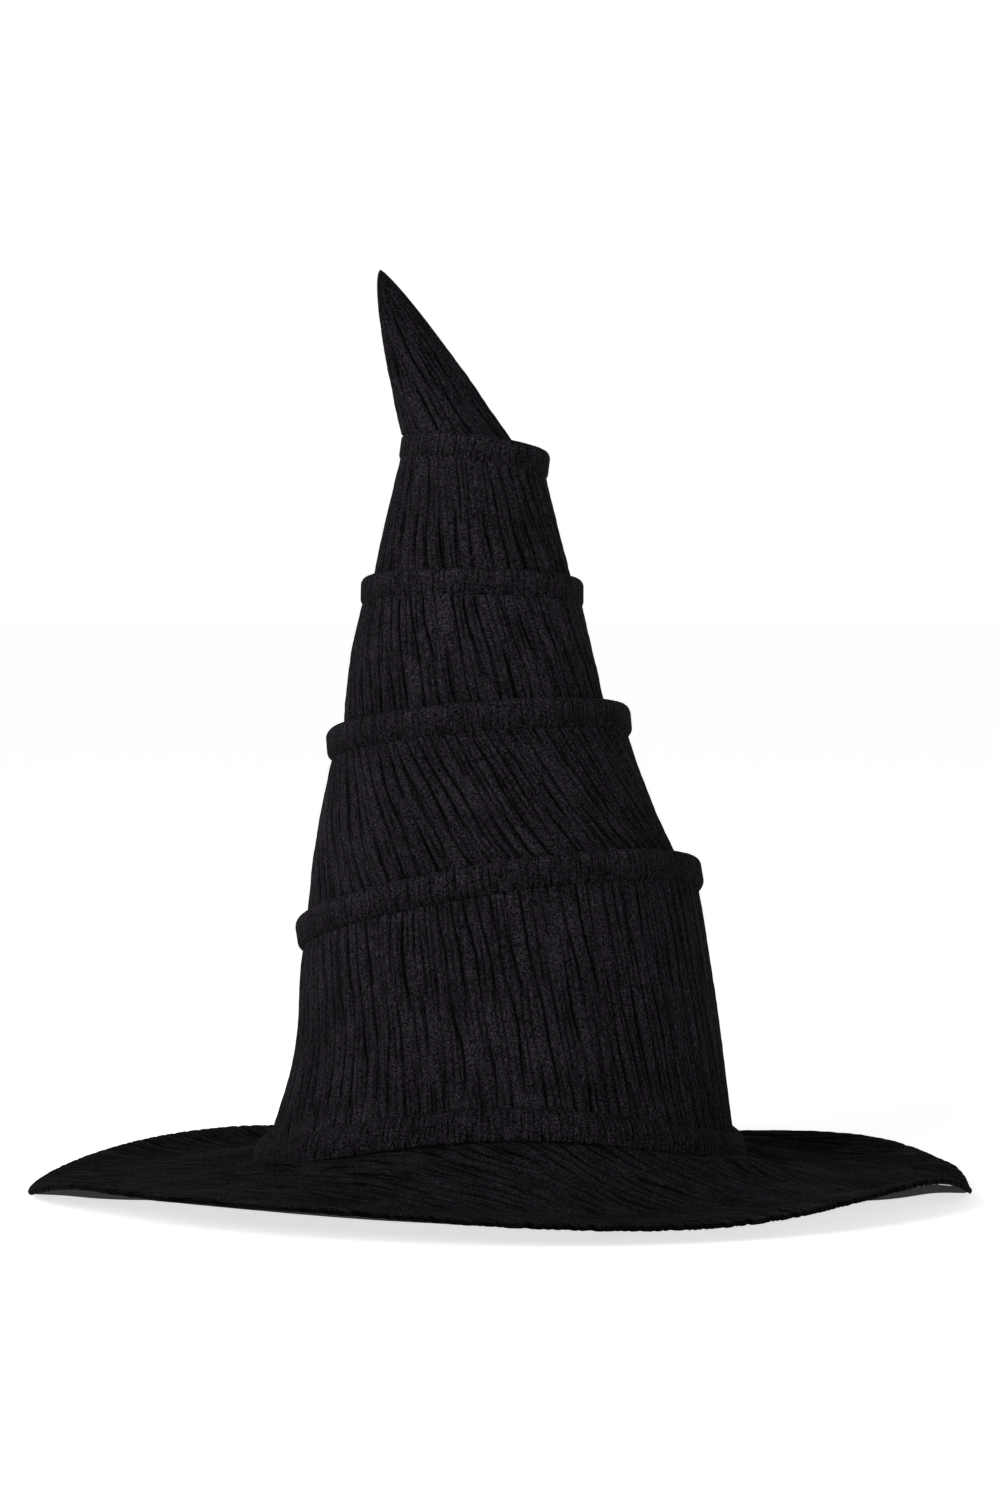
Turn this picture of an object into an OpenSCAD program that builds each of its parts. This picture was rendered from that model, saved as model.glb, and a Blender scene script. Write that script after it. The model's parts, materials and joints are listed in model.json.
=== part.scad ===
// Crooked witch hat. A wired and faced fabric brim carries a soft crown of four tiers,
// which are joined by hooped welts and end in a leaning tip.
// Millimetres, +Z up. Z = 0 is the plane that the lowest edges of the brim stand on,
// the Z axis is the axis of the head opening, and the front of the hat faces -Y.

/* [Head opening] */
// Inner radius of the sweatband
opening_r = 88.5; // [86:0.5:88.5]
// Sideways shift of the head opening from the brim's centre
opening_x = 1.5; // [1:0.5:2]
// Height of the sweatband's level upper edge
sweatband_top = 37; // [34:1:37]
// Radius of the lining where it meets the sweatband
lining_r = 86.4; // [80:0.2:86.4]
// Height of the lining's flat top piece
lining_top_z = 108; // [100:1:109]
// Radius of that piece
lining_top_r = 62; // [56:0.5:63]

/* [Brim] */
// Outer radius of the brim
brim_r = 193; // [180:1:205]
// Thickness of the brim's upper cloth
brim_cloth_t = 0.7; // [0.6:0.1:0.8]
// Thickness of the stiffener sewn into the brim
brim_stiffener_t = 1.5; // [1.4:0.1:1.6]
// Diameter of the wire in the brim's edge
brim_wire_d = 1.2; // [1.0:0.1:1.2]

/* [Crown seam] */
// Outer radius of the crown's cloth at the brim seam
seam_r = 96; // [96:0.5:97]
// Height of the seam at the sides of the head
seam_low = 12; // [11:0.5:13]
// Radius of the arc along which the seam rises to the front and the back
seam_arc_r = 248; // [240:1:300]
// Height of the roll that covers the seam
base_welt_h = 11; // [10:0.5:12]
// Thickness of that roll
base_welt_t = 4.4; // [4.2:0.1:4.6]

/* [Crown rings] */
// Outer radius of each hooped welt, from the lowest up
ring_r = [84.4, 63, 45.9, 31]; // [20:0.1:90]
// Sideways place of each welt's centre
ring_x = [-0.2, -8.7, -11.5, -10.5]; // [-20:0.1:20]
// Front to back place of each welt's centre
ring_y = [6, 14, 20, 25]; // [0:0.5:40]
// Height of each welt's centre
ring_z = [118, 188.5, 246, 302.5]; // [100:0.5:330]
// Sideways lean of each welt, in degrees, with the right side high
ring_roll = [8.8, 4.8, -0.6, -7.9]; // [-10:0.1:10]
// Backward lean of each welt, in degrees, with the front high
ring_tilt = [10.9, 7.8, 5.6, 4.9]; // [0:0.1:12]
// Height of a hooped welt
welt_h = 13; // [12:0.5:13]
// Thickness of a hooped welt
welt_t = 7.4; // [7:0.1:8]

/* [Crown cloth] */
// Thickness of the crown's crinkled cloth
cloth_t = 0.8; // [0.6:0.1:0.8]
// Radius at the foot of tiers 2, 3 and 4 and of the tip
foot_r = [77, 53.6, 40.5, 23.6]; // [20:0.1:80]
// Sideways shift of each foot from its ring's centre
foot_shift = [-1.6, -1.4, 0, -7]; // [-8:0.1:2]
// How far the left side of the lowest tier curves in
tier_flare = 4; // [0:0.5:4.5]
// Place of the tip's end
tip_end = [-49.7, 34, 380.6]; // [-60:0.1:400]

/* [Hidden] */

steps = 72;               // points round every faceted ring
gap = 0.3;                // play between neighbouring pieces
layer_gap = 0.2;          // play between the layers of the brim
facing_t = 0.6;           // smooth cloth under the brim
lining_t = 0.5;
sweatband_t = 0.8;
seam_roll = 0.8;          // sideways lean of the crown seam, in degrees

// Heights of the brim's edge above the standing plane: [angle from +X, height].
rim_wave = [[0, 0], [9, 4.8], [35, 9.4], [90, 0], [128, 9], [180, 0], [215, 12.3], [240, 12.5],
            [293, 5.6], [330, 13.2], [360, 0]];
// The same for the brim's underside at its lowest run, inside the edge
run_wave = [[0, 2.5], [90, 2], [195, 2.5], [228, 9], [262, 7], [293, 4.5], [316, 7.5],
            [340, 3], [360, 2.5]];
brim_turn = 0.7;          // share of the brim's width inside that run
ridge_h = 7.5;            // soft ridge from each end of the front of the crown to a side tip
ridge_turn = 35;          // how far forward a ridge starts, in degrees
ridge_w = 14;             // width of a ridge, in degrees

wire_r = brim_r - 2.2;                    // radius of the wire's own centre line
wire_space = brim_stiffener_t + 2 * layer_gap;
ferrule_r = 0.85;
ferrule_l = 12;

brim_in_r = opening_r + sweatband_t + 1;  // radius of the hole in the brim

hoop_t = 2.4;                             // flat boning
hoop_h = 9;
hoop_butt = 0.5;                          // gap between a hoop's ends, in degrees
clip_t = 0.5;                             // wall of a boning clip
clip_l = 12;                              // length of a boning clip
welt_wall = 1.1;
slit_h = 0.8;                             // sewn opening on a welt's inner side

fabric = "#211f23";
facing_colour = "#322f33";
lining_colour = "#1a191c";
steel = "#9a9ca0";
boning = "#e8e6df";
buckram = "#d8d2c4";
wadding = "#eeece6";

// ---- functions -------------------------------------------------------------

function mix(a, b, t) = a + (b - a) * t;

// Height between two neighbouring stations of a closed wave, with level stations
function wave(list, a, i = 0) =
    a <= list[i + 1][0] || i == len(list) - 2
    ? mix(list[i][1], list[i + 1][1],
          (1 - cos(180 * (a - list[i][0]) / (list[i + 1][0] - list[i][0]))) / 2)
    : wave(list, a, i + 1);

// Height of the crown seam at angle a: low at the sides, high at front and back
function seam_z(a) =
    seam_low + seam_arc_r - sqrt(pow(seam_arc_r, 2) - pow(seam_r * sin(a), 2))
    + seam_r * cos(a) * tan(seam_roll);

// Height of the brim's underside at radius r and angle a
function brim_z(r, a) =
    let (s = max(r - brim_flat_r, 0) / (brim_r - brim_flat_r),
         inner = min(s / brim_turn, 1),
         outer = max((s - brim_turn) / (1 - brim_turn), 0),
         drop = 1 - pow(1 - inner, 1.5),
         under_seam = seam_z(a) - 2 * layer_gap - brim_layers)
    mix(mix(under_seam, wave(run_wave, a), drop), wave(rim_wave, a), pow(outer, 1.3)) + ridge(s, a);
// Height of the ridges at share s of the brim's width
function ridge(s, a) =
    let (start = min(s / 0.12, 1),
         beside = min(abs(a - 180 - ridge_turn * (1 - s)), abs(a - 360 + ridge_turn * (1 - s)),
                      abs(a + ridge_turn * (1 - s))))
    ridge_h * start * start * (3 - 2 * start) * pow(1 - min(s, 1), 2) * exp(-pow(beside / ridge_w, 2));
brim_flat_r = seam_r + gap + base_welt_t + 0.5;   // the brim falls away outside the seam's roll
brim_layers = facing_t + brim_stiffener_t + brim_cloth_t + 2 * layer_gap;

// Point p of ring i's own frame, in the hat's frame
function turn_x(p, a) = [p.x, p.y * cos(a) - p.z * sin(a), p.y * sin(a) + p.z * cos(a)];
function turn_y(p, a) = [p.x * cos(a) + p.z * sin(a), p.y, p.z * cos(a) - p.x * sin(a)];
function on_ring(i, p) =
    [ring_x[i], ring_y[i], ring_z[i]] + turn_y(turn_x(p, -ring_tilt[i]), -ring_roll[i]);

// Point at angle a on the foot and on the head of tier i, where tier 4 is the tip
tier_play = welt_h / 2 + gap;
function head_r(i) = ring_r[i] - (i == 0 ? 3 : i == 1 ? 2.8 : 1.2);
function foot(i, a) =
    i == 0 ? [seam_r * cos(a), seam_r * sin(a), seam_z(a) + gap]
    : on_ring(i - 1, [foot_r[i - 1] * cos(a) + foot_shift[i - 1],
                      foot_r[i - 1] * sin(a), tier_play]);
function head(i, a) =
    i == 4 ? tip_end : on_ring(i, [head_r(i) * cos(a), head_r(i) * sin(a), -tier_play]);
function foot_mid(i) = (foot(i, 0) + foot(i, 180)) / 2;
function head_mid(i) = (head(i, 0) + head(i, 180)) / 2;

// Point of tier i at share t of its height and angle a, drawn in by inset
tip_round = 0.28;
function tier_point(i, t, a, inset) =
    let (mid = mix(foot_mid(i), head_mid(i), t),
         arm = mix(foot(i, a), head(i, a), t) - mid,
         full = i == 4 ? pow(1 - t, -tip_round) : 1,
         flare = i == 0 ? tier_flare * (1 - cos(a)) / 2 * pow(sin(180 * t), 3) : 0)
    mid + arm * (full - (inset + flare) / norm(arm));

function tier_ring(i, t, inset) =
    [for (k = [0:steps - 1]) tier_point(i, t, 360 * k / steps, inset)];

// Ring of points on the brim, whose hole is centred on the head opening
function brim_ring(r, up) =
    let (shift = opening_x * (brim_r - r) / (brim_r - brim_in_r))
    [for (k = [0:steps - 1]) let (a = 360 * k / steps)
        [r * cos(a) + shift, r * sin(a), brim_z(r, a) + up]];

// Point at angle q on an upright oval with straight sides
function oval(q, r, h) = [r * cos(q), r * sin(q) + (sin(q) >= 0 ? 1 : -1) * (h / 2 - r)];

// Ring of points round the seam at the place uv of a section centred on radius r
function seam_ring(r, up, uv) =
    [for (k = [0:steps - 1]) let (a = 360 * k / steps)
        [(r + uv[0]) * cos(a), (r + uv[0]) * sin(a), seam_z(a) + up + uv[1]]];

function reversed(list) = [for (k = [len(list) - 1:-1:0]) list[k]];

// ---- shared modules --------------------------------------------------------

// Solid whose surface runs through rings of points, listed from the outside upwards
// and back down the inside. The way back has the other diagonals, so that a wall is as
// thick everywhere. A closed chain joins its last ring to its first, and an open one
// ends in the two points given.
module ring_solid(rings, ends = []) {
    n = len(rings[0]);
    m = len(rings);
    joins = len(ends) == 0 ? m : m - 1;
    sides = [for (j = [0:joins - 1], k = [0:n - 1])
        let (l = (j + 1) % m, o = (k + 1) % n, a = j * n + k, b = l * n + k, c = l * n + o, d = j * n + o)
        each j < m / 2 ? [[a, b, c], [a, c, d]] : [[a, b, d], [b, c, d]]];
    fans = len(ends) == 0 ? [] : [for (k = [0:n - 1]) let (o = (k + 1) % n)
        each [[m * n, k, o], [m * n + 1, (m - 1) * n + o, (m - 1) * n + k]]];
    polyhedron(points = concat([for (r = rings) each r], ends), faces = concat(sides, fans));
}

// Layer of the brim, as wide as the stiffener or out to the brim's edge
stiff_radii = [brim_in_r, for (k = [0, 0.12, 0.28, 0.46, 0.64, 0.82, 1]) mix(brim_flat_r, wire_r - 2, k)];
module brim_layer(low, thick, to_edge = true) {
    radii = to_edge ? concat(stiff_radii, [brim_r]) : stiff_radii;
    under = [for (r = radii) brim_ring(r, low)];
    over = [for (k = [len(radii) - 1:-1:0]) brim_ring(radii[k], low + thick)];
    ring_solid(concat(under, over));
}

module in_ring(i) {
    translate([ring_x[i], ring_y[i], ring_z[i]]) rotate([-ring_tilt[i], -ring_roll[i], 0]) children();
}

// Upright oval with straight sides, drawn from two circles and a square
module oval_area(r, h) {
    translate([0, h / 2 - r]) circle(r, $fn = 48);
    translate([0, r - h / 2]) circle(r, $fn = 48);
    square([2 * r, h - 2 * r], center = true);
}

// Sweeps a section round ring i, from one angle of the ring over another
module ring_sweep(i, from = 0, angle = 360) {
    in_ring(i) rotate([0, 0, from]) rotate_extrude(angle = angle, $fn = 96)
        translate([ring_r[i] - welt_t / 2, 0]) children();
}

// Radius of the lining's inner face at height z
function lining_r_at(z) =
    mix(lining_r, lining_top_r, (z - sweatband_top) / (lining_top_z - sweatband_top));

// Band of the lining's shape between two heights, inset from its inner face
module lining_area(z_low, z_high, inset, thick) {
    r = [lining_r_at(z_low) - inset, lining_r_at(z_high) - inset];
    polygon([[r[0], z_low], [r[1], z_high], [r[1] + thick, z_high], [r[0] + thick, z_low]]);
}

// ---- brim ------------------------------------------------------------------

module brim_facing() {
    color(facing_colour) brim_layer(0, facing_t);
}

module brim_stiffener() {
    color(buckram) brim_layer(facing_t + layer_gap, brim_stiffener_t, false);
}

module brim_top() {
    color(fabric) brim_layer(facing_t + wire_space, brim_cloth_t);
}

wire_up = facing_t + wire_space / 2;
module brim_wire() {
    sides = 8;
    color(steel) ring_solid([for (k = [0:sides - 1])
        let (q = 360 * k / sides, w = brim_wire_d / 2)
        [for (p = brim_ring(wire_r, wire_up))
            let (a = atan2(p.y, p.x)) p + w * [cos(q) * cos(a), cos(q) * sin(a), sin(q)]]]);
}

// Crimped sleeve over the wire's two ends, at the back
module brim_wire_ferrule() {
    line = brim_ring(wire_r, wire_up);
    first = steps / 4;
    run = line[first + 1] - line[first];
    color(steel) translate((line[first] + line[first + 1]) / 2)
        rotate([0, acos(run.z / norm(run)), atan2(run.y, run.x)]) difference() {
            cylinder(r = ferrule_r, h = ferrule_l, center = true, $fn = 32);
            cylinder(r = ferrule_r - 0.12, h = 2 * ferrule_l, center = true, $fn = 32);
        }
}

// ---- crown seam, sweatband and lining --------------------------------------

base_welt_r = seam_r + gap + base_welt_t / 2;
base_welt_up = base_welt_h / 2 + gap;

module base_welt() {
    turns = [for (q = [-165:41.25:165]) q];
    outside = [for (q = turns) seam_ring(base_welt_r, base_welt_up, oval(q, base_welt_t / 2, base_welt_h))];
    r_in = base_welt_t / 2 - welt_wall;
    inside = [for (q = reversed(turns))
        seam_ring(base_welt_r, base_welt_up, oval(q, r_in, base_welt_h - 2 * welt_wall))];
    color(fabric) ring_solid(concat(outside, inside));
}

module base_welt_filler() {
    r = base_welt_t / 2 - welt_wall - gap;
    color(wadding) ring_solid([for (k = [0:7])
        seam_ring(base_welt_r, base_welt_up, oval(45 * k + 22, r, base_welt_h - 2 * welt_wall - 2 * gap))]);
}

// Ribbon that follows the crown seam below and is level above
module sweatband() {
    color(lining_colour) intersection() {
        translate([opening_x, 0, 0]) difference() {
            cylinder(r = opening_r + sweatband_t, h = sweatband_top, $fn = 120);
            translate([0, 0, -1]) cylinder(r = opening_r, h = sweatband_top + 2, $fn = 120);
        }
        rotate([0, -seam_roll, 0]) translate([0, 0, seam_low + gap + seam_arc_r]) rotate([0, 90, 0])
            cylinder(r = seam_arc_r, h = 4 * seam_r, center = true, $fn = 180);
    }
}

// Side of the lining, sewn to the sweatband's upper edge
module lining_side() {
    color(lining_colour) translate([opening_x, 0, 0]) rotate_extrude($fn = 120)
        lining_area(sweatband_top + gap, lining_top_z - gap, 0, lining_t);
}

module lining_top() {
    color(lining_colour) translate([opening_x, 0, lining_top_z])
        cylinder(r = lining_top_r, h = lining_t, $fn = 96);
}

// Blank label, sewn to the lining just above the sweatband at the back
module size_label() {
    label_t = 0.5;
    label_arc = 20;
    low = sweatband_top + 3;
    color("#b9b6ae") translate([opening_x, 0, 0]) rotate([0, 0, 90 - label_arc / 2])
        rotate_extrude(angle = label_arc, $fn = 120) lining_area(low, low + 14, gap + label_t, label_t);
}

// ---- crown -----------------------------------------------------------------

module tier(i) {
    rows = [0:0.25:1];
    outside = [for (t = rows) tier_ring(i, t, 0)];
    inside = [for (t = rows) tier_ring(i, 1 - t, cloth_t)];
    color(fabric) ring_solid(concat(outside, inside));
}

// Fabric tuck that wraps a hoop: a hollow roll, open along its sewn inner side
module welt(i) {
    color(fabric) ring_sweep(i) difference() {
        oval_area(welt_t / 2, welt_h);
        oval_area(welt_t / 2 - welt_wall, welt_h - 2 * welt_wall);
        translate([-welt_t / 2, 0]) square([welt_t, slit_h], center = true);
    }
}

// Flat boning bent into a ring, whose ends meet at the back
module hoop(i) {
    color(boning) ring_sweep(i, 90 + hoop_butt / 2, 360 - hoop_butt) oval_area(hoop_t / 2, hoop_h);
}

// Metal clip closed over the two ends of a hoop
module hoop_clip(i) {
    play = 0.1;
    arc = clip_l / (PI * ring_r[i]) * 180;
    color(steel) ring_sweep(i, 90 - arc / 2, arc) difference() {
        oval_area(hoop_t / 2 + play + clip_t, hoop_h + 2 * play + 2 * clip_t);
        oval_area(hoop_t / 2 + play, hoop_h + 2 * play);
    }
}

module tip_cone() {
    rows = [0, 0.15, 0.3, 0.45, 0.6, 0.72, 0.83, 0.91, 0.96, 0.985];
    last = len(rows) - 3;
    outside = [for (k = [len(rows) - 1:-1:0]) tier_ring(4, rows[k], 0)];
    inside = [for (k = [0:last]) tier_ring(4, rows[k], cloth_t)];
    inner_end = tier_point(4, 0.93, 0, 0) * 0.5 + tier_point(4, 0.93, 180, 0) * 0.5;
    color(fabric) ring_solid([for (r = concat(outside, inside)) reversed(r)], [tip_end, inner_end]);
}

// Stuffing that keeps the end of the tip round
module tip_wadding() {
    rows = [0.4, 0.52, 0.64, 0.75, 0.84, 0.88];
    play = cloth_t + 2 * gap;
    low = mix(foot_mid(4), tip_end, rows[0]);
    high = mix(foot_mid(4), tip_end, 0.9);
    color(wadding) ring_solid([for (t = rows) tier_ring(4, t, play)], [low, high]);
}

// ---- assembly --------------------------------------------------------------

brim_top();
brim_stiffener();
brim_facing();
brim_wire();
brim_wire_ferrule();
base_welt();
base_welt_filler();
sweatband();
lining_side();
lining_top();
size_label();
tier(0);  // tier_1
welt(0);  // welt_1
hoop(0);  // hoop_1
hoop_clip(0);  // hoop_clip_1
tier(1);  // tier_2
welt(1);  // welt_2
hoop(1);  // hoop_2
hoop_clip(1);  // hoop_clip_2
tier(2);  // tier_3
welt(2);  // welt_3
hoop(2);  // hoop_3
hoop_clip(2);  // hoop_clip_3
tier(3);  // tier_4
welt(3);  // welt_4
hoop(3);  // hoop_4
hoop_clip(3);  // hoop_clip_4
tip_cone();
tip_wadding();
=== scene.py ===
import json
import math

import bpy
import numpy as np
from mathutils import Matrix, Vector
from mathutils.bvhtree import BVHTree


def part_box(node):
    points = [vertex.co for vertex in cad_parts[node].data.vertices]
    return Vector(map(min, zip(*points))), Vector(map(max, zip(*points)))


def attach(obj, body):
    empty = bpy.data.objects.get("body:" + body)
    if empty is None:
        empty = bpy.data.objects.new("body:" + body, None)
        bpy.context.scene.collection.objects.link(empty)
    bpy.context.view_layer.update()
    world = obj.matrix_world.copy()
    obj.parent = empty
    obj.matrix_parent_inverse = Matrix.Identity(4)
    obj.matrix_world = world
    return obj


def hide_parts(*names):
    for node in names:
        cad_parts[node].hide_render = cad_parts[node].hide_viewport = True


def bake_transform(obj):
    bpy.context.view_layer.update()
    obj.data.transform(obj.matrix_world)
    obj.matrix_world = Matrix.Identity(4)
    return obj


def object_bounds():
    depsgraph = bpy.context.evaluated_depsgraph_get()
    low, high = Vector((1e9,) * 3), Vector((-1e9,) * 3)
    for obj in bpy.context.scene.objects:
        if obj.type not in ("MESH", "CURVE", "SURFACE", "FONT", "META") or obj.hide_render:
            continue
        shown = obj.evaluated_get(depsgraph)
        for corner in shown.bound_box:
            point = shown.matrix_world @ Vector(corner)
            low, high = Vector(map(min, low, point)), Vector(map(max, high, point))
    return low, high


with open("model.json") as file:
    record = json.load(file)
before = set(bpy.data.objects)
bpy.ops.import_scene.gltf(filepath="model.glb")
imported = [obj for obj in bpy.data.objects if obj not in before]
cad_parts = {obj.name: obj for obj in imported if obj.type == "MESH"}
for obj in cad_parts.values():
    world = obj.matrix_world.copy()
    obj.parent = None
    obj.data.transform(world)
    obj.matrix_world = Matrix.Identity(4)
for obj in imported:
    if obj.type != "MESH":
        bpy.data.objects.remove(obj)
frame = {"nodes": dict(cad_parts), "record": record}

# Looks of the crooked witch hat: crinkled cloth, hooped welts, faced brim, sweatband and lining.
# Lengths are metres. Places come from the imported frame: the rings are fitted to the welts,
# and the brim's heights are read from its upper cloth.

CAD_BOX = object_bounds()
MM = 0.001
NODES = frame["nodes"]
TURN = 2 * math.pi

# Camera, set up as the photograph was taken
CAMERA_PLACE = (0.0002, -2.2, 0.251)
CAMERA_AIM = (0.0002, 0.0, 0.182)
CAMERA_LENS = 128.8
SENSOR_H = 36.0

# Crinkle: spacing and depth of the creases of the crown, the ribs of the welts and the brim's creases
CREASE_GAP = 6.0 * MM
CREASE_DEPTH = 1.6 * MM
RIB_GAP = 2.6 * MM
RIB_DEPTH = 0.5 * MM
BRIM_CREASE_GAP = 5.4 * MM
BRIM_CREASE_DEPTH = 1.5 * MM
BRIM_CREASE_ANGLE = math.radians(-38)

# Cloth colours, linear
CLOTH = (0.0078, 0.0070, 0.0085)
FACING = (0.0135, 0.0125, 0.0112)
LINING = (0.010, 0.009, 0.012)


# ---- numbers ---------------------------------------------------------------

def mix(a, b, t):
    return a + (b - a) * t


def smooth(t):
    t = np.clip(t, 0, 1)
    return t * t * (3 - 2 * t)


def noise(x, y, seed, wrap=None):
    """Gradient noise, about -1 to 1. With wrap, x repeats after that many cells."""
    xi, yi = np.floor(x).astype(int), np.floor(y).astype(int)
    xf, yf = x - xi, y - yi
    yi = yi - yi.min()
    if wrap is None:
        xi = xi - xi.min()
        wrap = int(xi.max()) + 2
    angle = np.random.default_rng(seed).uniform(0, TURN, (wrap, int(yi.max()) + 2))
    gx, gy = np.cos(angle), np.sin(angle)

    def corner(i, j):
        a, b = (xi + i) % wrap, yi + j
        return gx[a, b] * (xf - i) + gy[a, b] * (yf - j)

    u = xf ** 3 * (xf * (6 * xf - 15) + 10)
    v = yf ** 3 * (yf * (6 * yf - 15) + 10)
    return 1.5 * mix(mix(corner(0, 0), corner(1, 0), u), mix(corner(0, 1), corner(1, 1), u), v)


def crinkle(u, v, around, seed, gap, slant=0.0, run=0.034, wander=0.45, sharp=0.20):
    """Height, 0 to 1, of crinkled cloth: soft puffs parted by narrow creases that run along v.

    u goes round, and repeats after around unless that is None; gap is the creases' spacing,
    run the length over which one fades in or out, slant how far they move along u for each
    metre along v, wander how many gaps they stray and sharp how wide they are."""
    span = around or 1.0
    side = u + slant * v

    def field(width, length, step):
        n = max(3, int(round(span / width)))
        return noise(side / span * n, v / length, seed + step, n if around else None)

    def creases(width, wide, share, step):
        n = max(3, int(round(span / width)))
        stray = wander * (field(7 * width, 1.8 * run, step) + 0.6 * field(1.7 * width, 0.8 * run, step + 1))
        phase = side / span * n + stray
        strength = noise(np.round(phase), v / run + 0.37, seed + step + 2, n if around else None)
        line = np.exp(-np.abs(np.sin(math.pi * phase)) / wide)
        return line * smooth(share + 1.6 * strength)

    main = creases(gap, sharp, 0.68, 1)
    minor = 0.75 * creases(0.43 * gap, 1.5 * sharp, 0.55, 4)
    puffs = 0.13 * field(1.2 * gap, 0.4 * run, 7) + 0.10 * field(0.35 * gap, 0.12 * run, 8)
    return np.clip(1 - np.maximum(main, minor) + puffs, 0, 1.25)


# ---- places read from the frame --------------------------------------------

def points_of(node):
    co = np.empty(len(NODES[node].data.vertices) * 3)
    NODES[node].data.vertices.foreach_get("co", co)
    return co.reshape(-1, 3)


def fit_circle(points):
    """The circle that points lie round: centre, unit normal pointing up, the plane's own side and
    front directions, and the largest radius."""
    middle = points.mean(0)
    normal = np.linalg.svd(points - middle, full_matrices=False)[2][2]
    normal *= np.sign(normal[2])
    side = np.cross([0.0, 1.0, 0.0], normal)
    side /= np.linalg.norm(side)
    front = np.cross(normal, side)
    x, y = (points - middle) @ side, (points - middle) @ front
    a = np.c_[2 * x, 2 * y, np.ones(len(x))]
    cx, cy, _ = np.linalg.lstsq(a, x * x + y * y, rcond=None)[0]
    centre = middle + cx * side + cy * front
    radius = np.hypot(x - cx, y - cy).max()
    return {"at": centre, "up": normal, "side": side, "front": front, "r": radius}


def edge_of(node, up, top):
    """The circle of a tier's foot, or of its head where top is true."""
    co = points_of(node)
    height = co @ up * (-1 if top else 1)
    return fit_circle(co[height < height.min() + 0.25 * MM])


def on_circle(ring, angle, r, rise):
    """Points at angles round a ring, r from its axis and rise above its plane."""
    angle, r, rise = np.broadcast_arrays(angle, r, rise)
    out = np.cos(angle)[..., None] * ring["side"] + np.sin(angle)[..., None] * ring["front"]
    return ring["at"] + r[..., None] * out + rise[..., None] * ring["up"]


RINGS = [fit_circle(points_of(f"welt_{k}")) for k in (1, 2, 3, 4)]
# Thickness and height of a welt
WELT_T = 7.4 * MM
WELT_H = 13 * MM
# How far a tier's cloth runs on past the foot and the head of its CAD shell, into the welts
FOOT_TUCK = 1.5 * MM
HEAD_TUCK = 2.0 * MM
# How blunt the tip is, where 0 is a straight cone
TIP_ROUND = 0.28


def seam_columns():
    """(angle, height, inner radius) of the crown seam, from the roll that covers it."""
    co = points_of("base_welt")
    angle = np.arctan2(co[:, 1], co[:, 0]) % TURN
    steps = 72
    column = np.round(angle / TURN * steps).astype(int) % steps
    low = np.array([co[column == k, 2].min() for k in range(steps)])
    return np.arange(steps) / steps * TURN, low, np.hypot(co[:, 0], co[:, 1]).min()


SEAM_ANGLE, SEAM_LOW, SEAM_R = seam_columns()


def seam_z(angle):
    return np.interp(angle % TURN, SEAM_ANGLE, SEAM_LOW, period=TURN)


def upsample(table, count, closed):
    """Rows of a table, read at count even places with a smooth curve through them."""
    n = len(table)
    place = np.arange(count) / count * n if closed else np.linspace(0, n - 1.0001, count)
    i = place.astype(int)
    f = (place - i)[:, None]
    pick = (lambda k: k % n) if closed else (lambda k: np.clip(k, 0, n - 1))
    p0, p1, p2, p3 = (table[pick(i + k)] for k in (-1, 0, 1, 2))
    return p1 + 0.5 * f * (p2 - p0 + f * (2 * p0 - 5 * p1 + 4 * p2 - p3 + f * (3 * (p1 - p2) + p3 - p0)))


def brim_table():
    """(lowest radius, highest radius, heights) of the brim's upper face, by looking down on it."""
    node = NODES["brim_top"]
    tree = BVHTree.FromPolygons([v.co for v in node.data.vertices],
                                [tuple(p.vertices) for p in node.data.polygons])
    radii = np.linspace(SEAM_R - 2.5 * MM, BRIM_EDGE - 0.4 * MM, 13)
    angles = np.arange(72) / 72 * TURN
    down = Vector((0, 0, -1))
    z = [[tree.ray_cast(Vector((r * math.cos(a), r * math.sin(a), 1)), down)[0].z for a in angles]
         for r in radii]
    smooth_rows = upsample(np.array(z), 160, False)
    return radii[0], radii[-1], upsample(smooth_rows.T, 720, True).T


BRIM_EDGE = CAD_BOX[1][0]
# Outer radius of the roll at the foot of the crown
WELT_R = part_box("base_welt")[1].x
# Thickness of the brim's layers together, and how much thinner its edge is pressed
BRIM_T = 3.2 * MM
EDGE_TAPER = 1.1 * MM
# Stiffener: thickness, depth of its middle under the upper face, and how far it ends inside the brim's edge
STIFFENER_T = 1.1 * MM
STIFFENER_DEPTH = 1.75 * MM
STIFFENER_EDGE = 4.4 * MM
BRIM_LOW_R, BRIM_HIGH_R, BRIM_Z = brim_table()
HOLE = edge_of("sweatband", np.array([0.0, 0.0, 1.0]), True)


def brim_z(r, angle):
    """Height of the brim's upper face."""
    rows, columns = BRIM_Z.shape
    place = np.clip((r - BRIM_LOW_R) / (BRIM_HIGH_R - BRIM_LOW_R), 0, 1) * (rows - 1.001)
    turn = (angle % TURN) / TURN * columns
    i, j = place.astype(int), turn.astype(int) % columns
    f, g, k = place - i, turn - np.floor(turn), (turn.astype(int) + 1) % columns
    return mix(mix(BRIM_Z[i, j], BRIM_Z[i, k], g), mix(BRIM_Z[i + 1, j], BRIM_Z[i + 1, k], g), f)


# ---- meshes ----------------------------------------------------------------

def normals_of(grid):
    """Unit normals of a grid of points, whose first direction goes round and closes."""
    across = np.roll(grid, -1, 0) - np.roll(grid, 1, 0)
    n = np.cross(across, np.gradient(grid, axis=1))
    return n / np.maximum(np.linalg.norm(n, axis=2, keepdims=True), 1e-12)


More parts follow.
